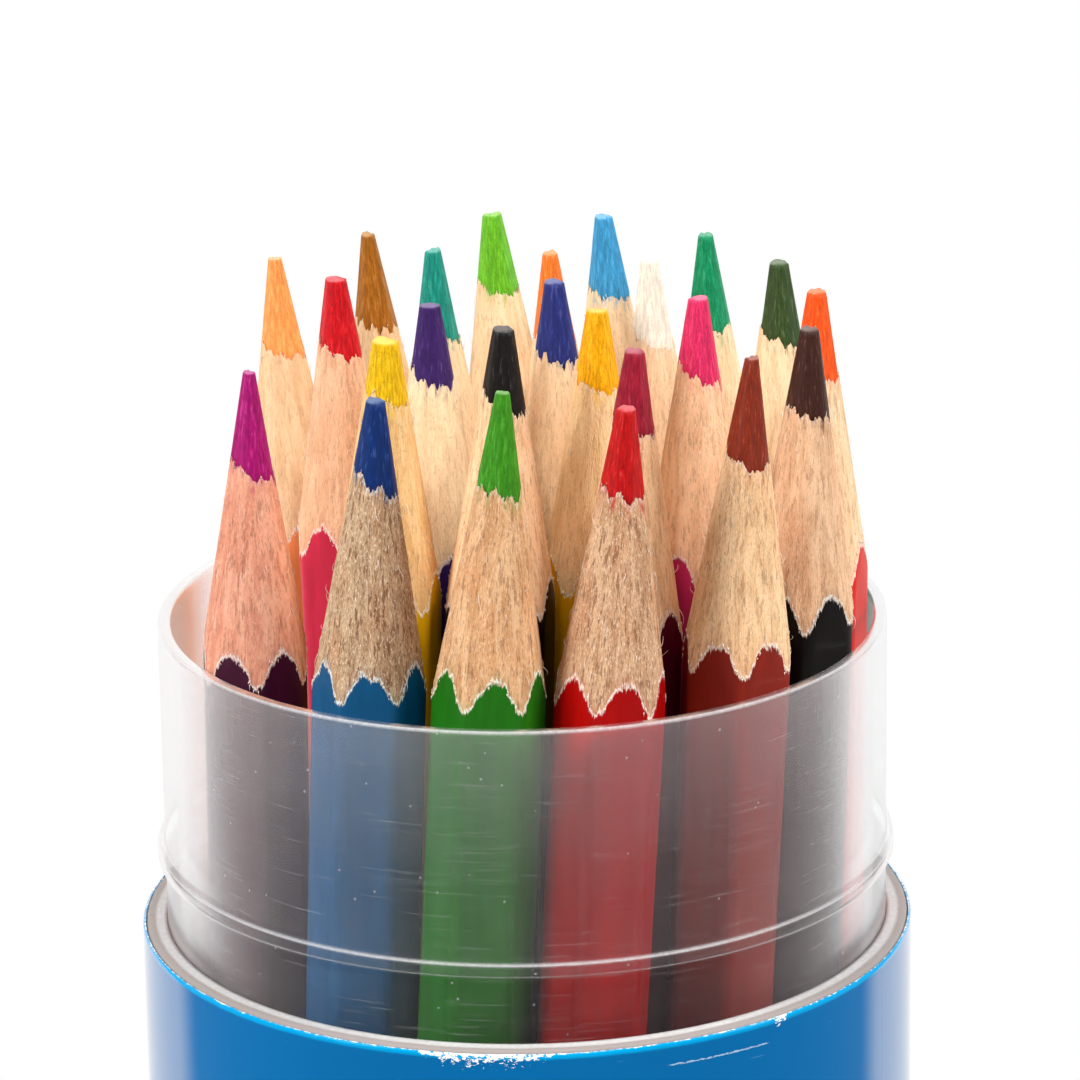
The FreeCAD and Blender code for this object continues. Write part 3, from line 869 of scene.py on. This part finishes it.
def make_wrap(turn, random):
    """The print, with its lap at the back, and how far below its worn edge each row is."""
    radius, height = node_profile("printed_wrap")
    foot, inner = height.min(), radius.min()
    top = node_profile("board_tube")[1].max() - 0.1
    lapped = node_points("printed_wrap")[radius > radius.max() - 0.02]
    lap = np.abs(np.arctan2(lapped[:, 0], lapped[:, 1])).max()
    from_back = np.abs((turn - math.pi / 2 + math.pi) % TURN - math.pi)
    plain = np.sort(radius[radius > inner + 0.1])[0]
    outer = plain + (radius.max() - plain) * np.clip((lap - from_back) * LAP_RADIUS / LAP_RAMP, 0, 1)
    ragged = top - (0.02 + 0.03 * np.abs(waves(random, turn, LEVEL, (20, 90), 1)))
    profile = [(inner, foot), (outer, foot)]
    edge = [9.0, 9.0]
    for z in np.linspace(foot + 2, top - 3, 12):
        profile.append((outer, z))
        edge.append(top - z)
    for drop in (1.5, 0.8, 0.4, 0.2):
        profile.append((outer, ragged - drop))
        edge.append(drop)
    profile += [(outer - 0.02, ragged - 0.1), (outer - 0.07, ragged - 0.03), (outer - 0.13, ragged)]
    profile += [(inner, ragged), (inner, foot)]
    edge += [0.1, 0.05, 0.0, 0.0, 9.0]
    material = print_material()
    return turned_piece("blue_wrap", "printed_wrap", profile, material, "print", turn, from_edge=edge)


def make_board(turn, random):
    """The tube's wall, with a rough, creased end."""
    radius, height = node_profile("board_tube")
    top, foot, inner, outer = height.max(), height.min(), radius.min(), radius.max()
    rough = 0.012 * waves(random, turn, LEVEL, (20, 90), 1)
    profile = [(inner, foot), (outer, foot), (outer, top - 0.9)]
    profile += [(outer, top - 0.5), (outer - 0.04 + rough, top - 0.12), (outer - 0.16 + rough, top - 0.02)]
    for share in (0.25, 0.5, 0.75):
        crease = 0.008 * waves(random, turn, LEVEL, (8, 60), 1) - 0.01
        profile.append((outer - 0.35 + share * (inner + 0.35 - outer), top + crease))
    profile += [(inner, top - 0.02), (inner, top - 0.5), (inner, foot)]
    return turned_piece("board_wall", "board_tube", profile, board_material(), "board", turn)


def make_base(turn):
    """The plug, with a recess below and rounded edges."""
    radius, height = node_profile("base_plug")
    flange, recess, top = radius.max(), radius.min(), height.max()
    rim = height[radius > flange - 0.01].max()
    ceiling = height[radius < recess + 0.01].max()
    skirt = radius[height > top - 0.01].max()
    soft = 0.25
    profile = [(0.05, ceiling), (recess - 4 * soft, ceiling)]
    profile += arc((recess - soft, ceiling - soft), soft, 90, 0, 4)
    profile += arc((recess + soft, soft), soft, 180, 270, 4)
    profile += arc((flange - soft, soft), soft, -90, 0, 4)
    profile += arc((flange - soft, rim - soft), soft, 0, 90, 4)
    profile += [(skirt, rim)] + arc((skirt - soft, top - soft), soft, 0, 90, 4)
    profile += [(recess, top), (0.05, top)]
    return turned_piece("base_cup", "base_plug", profile, base_material(), "base", turn)


# Stage


def make_floor():
    """A pale floor that takes the shadow near the object and is white to the camera further off."""
    sides = ((-1, -1), (1, -1), (1, 1), (-1, 1))
    corners = [(x * FLOOR_HALF, y * FLOOR_HALF, FLOOR_HEIGHT) for x, y in sides]
    shader = Shader("floor", Roughness=0.9)
    path = shader.node("LightPath", "Is Camera Ray").node.outputs
    seen = shader.math("MAXIMUM", path["Is Camera Ray"], path["Is Glossy Ray"])
    seen = shader.math("MAXIMUM", seen, path["Is Transmission Ray"])
    shader.feed(shader.surface, {"Base Color": shader.mix(seen, grey(FLOOR_BOUNCE), grey(FLOOR_SEEN))})
    share = shader.math("MULTIPLY", shader.step(shader.away(), *FLOOR_FADE), seen)
    glow = shader.node("Emission", 0, Color=grey(1), Strength=1.0)
    shader.finish(shader.blend(share, shader.surface.outputs[0], glow))
    mesh_object("floor", corners, [(0, 1, 2, 3)], shader.material)


def make_world():
    """White to the camera and behind the object, and dimmer as a light from the front."""
    world = bpy.data.worlds.new("studio")
    bpy.context.scene.world = world
    world.use_nodes = True
    tree = world.node_tree

    def joined(kind, operation, *values):
        made = tree.nodes.new(kind)
        made.operation = operation
        for socket, value in zip(made.inputs, values):
            put(tree, socket, value)
        return made.outputs

    path = tree.nodes.new("ShaderNodeLightPath").outputs
    shown = joined("ShaderNodeMath", "MAXIMUM", path["Is Camera Ray"], path["Is Transmission Ray"])[0]
    facing = tree.nodes.new("ShaderNodeTexCoord").outputs["Generated"]
    toward = joined("ShaderNodeVectorMath", "DOT_PRODUCT", facing, BACKDROP_DIRECTION)["Value"]
    level = tree.nodes.new("ShaderNodeMapRange")
    level.interpolation_type = "SMOOTHSTEP"
    names = ("Value", "From Min", "From Max", "To Min", "To Max")
    for socket, value in zip(names, (toward, *BACKDROP_FADE, FRONT_LEVEL, 1.0)):
        put(tree, level.inputs[socket], value)
    gloss = joined("ShaderNodeMath", "MULTIPLY_ADD", path["Is Glossy Ray"], 1 - WORLD_LIGHT, WORLD_LIGHT)[0]
    around = joined("ShaderNodeMath", "MULTIPLY", level.outputs[0], gloss)[0]
    background = tree.nodes["Background"].inputs
    put(tree, background["Strength"], joined("ShaderNodeMath", "MAXIMUM", around, shown)[0])
    put(tree, background["Color"], grey(1))


def make_lamps():
    for name, place, size, power in LAMPS:
        lamp = bpy.data.lights.new(name, "AREA")
        lamp.size = size
        lamp.energy = power
        made = bpy.data.objects.new(name, lamp)
        made.location = place
        made.rotation_euler = (Vector(LAMP_AIM) - Vector(place)).to_track_quat("-Z", "Y").to_euler()
        bpy.context.scene.collection.objects.link(made)


def make_camera():
    """The photograph's view, set by where the centre of the neck's rim falls in its frame."""
    rim = Vector((0, 0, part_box("neck_sleeve")[1].z))
    back = Vector((0, -math.cos(CAMERA_ELEVATION), math.sin(CAMERA_ELEVATION)))
    right = Vector((1, 0, 0))
    up = back.cross(right)
    turned_right = right * math.cos(CAMERA_ROLL) + up * math.sin(CAMERA_ROLL)
    turned_up = up * math.cos(CAMERA_ROLL) - right * math.sin(CAMERA_ROLL)
    per_pixel = CAMERA_DISTANCE / FOCAL_PIXELS
    aside = (FRAME_PIXELS / 2 - RIM_CENTRE_PIXEL[0]) * per_pixel
    above = (RIM_CENTRE_PIXEL[1] - FRAME_PIXELS / 2) * per_pixel
    data = bpy.data.cameras.new("photo")
    data.lens = LENS
    data.sensor_width = SENSOR
    data.clip_start = 0.01
    data.clip_end = 20
    camera = bpy.data.objects.new("photo", data)
    camera.matrix_world = Matrix((turned_right, turned_up, back)).transposed().to_4x4()
    camera.location = rim + back * CAMERA_DISTANCE + turned_right * aside + turned_up * above
    bpy.context.scene.collection.objects.link(camera)
    bpy.context.scene.camera = camera


bpy.context.scene.view_settings.view_transform = "Standard"
ROUND = np.arange(TUBE_STEPS) * TURN / TUBE_STEPS
for number, pencil in enumerate(PENCILS):
    make_pencil(pencil, number)
make_sleeve(ROUND)
make_wrap(ROUND, np.random.default_rng(WRAP_SEED))
make_board(ROUND, np.random.default_rng(BOARD_SEED))
make_base(ROUND)
make_floor()
make_world()
make_lamps()
make_camera()
